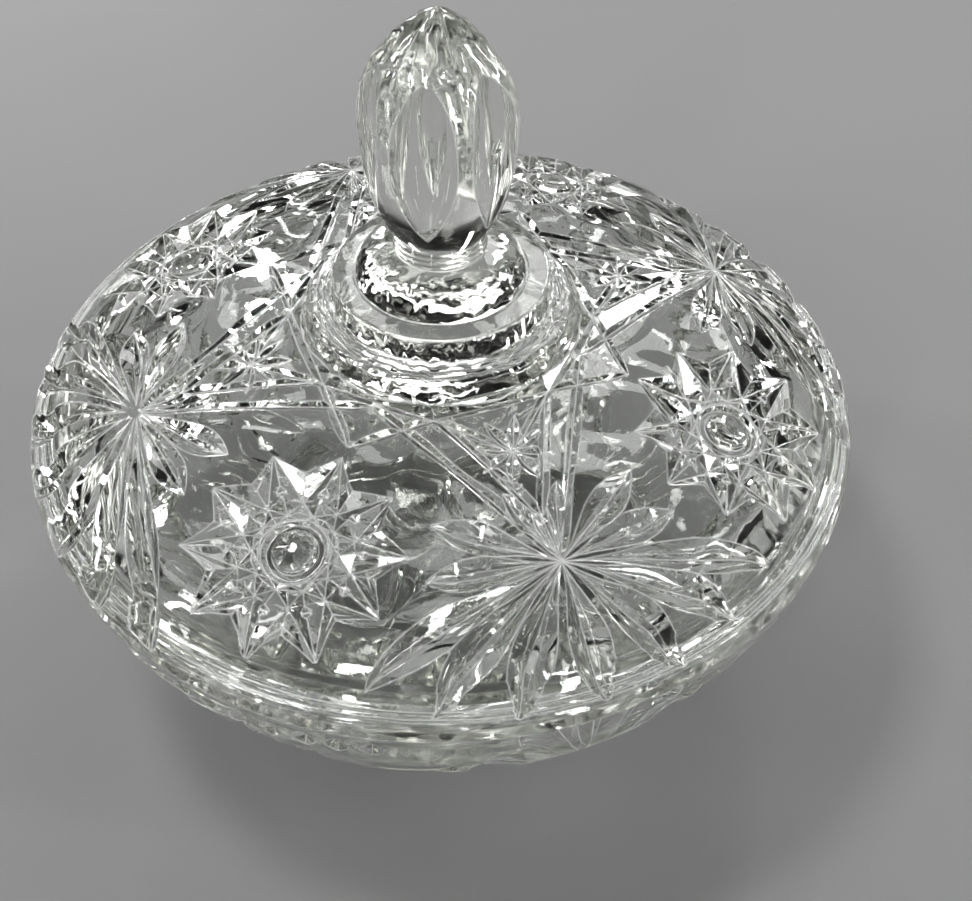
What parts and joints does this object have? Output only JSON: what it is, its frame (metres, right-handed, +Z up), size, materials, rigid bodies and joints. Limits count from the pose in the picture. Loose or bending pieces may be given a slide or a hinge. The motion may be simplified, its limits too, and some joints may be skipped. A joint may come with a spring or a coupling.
{
  "type": "powder jar",
  "caption": "Round cut crystal powder jar: a low curved bowl on a foot ring and a loose domed lid with a fluted egg-shaped finial.",
  "frame": {"origin": "centre of the foot's underside, on the surface that the jar stands on", "axes": "+Z up along the jar's axis and the way the lid lifts; +X and +Y are free, because both pieces are round, and -Y faces the usual viewer"},
  "size_m": [0.14, 0.14, 0.12],
  "materials": {
    "crystal": "colourless fire-polished cut crystal with crisp bevelled cuts"
  },
  "bodies": {
    "bowl": {"bowl": "crystal"},
    "lid": {"lid": "crystal"}
  },
  "joints": [
    {"name": "lid_lift", "type": "slide", "parent": "bowl", "child": "lid", "axis": [0, 0, 1], "range_m": [0, 0.12]}
  ]
}
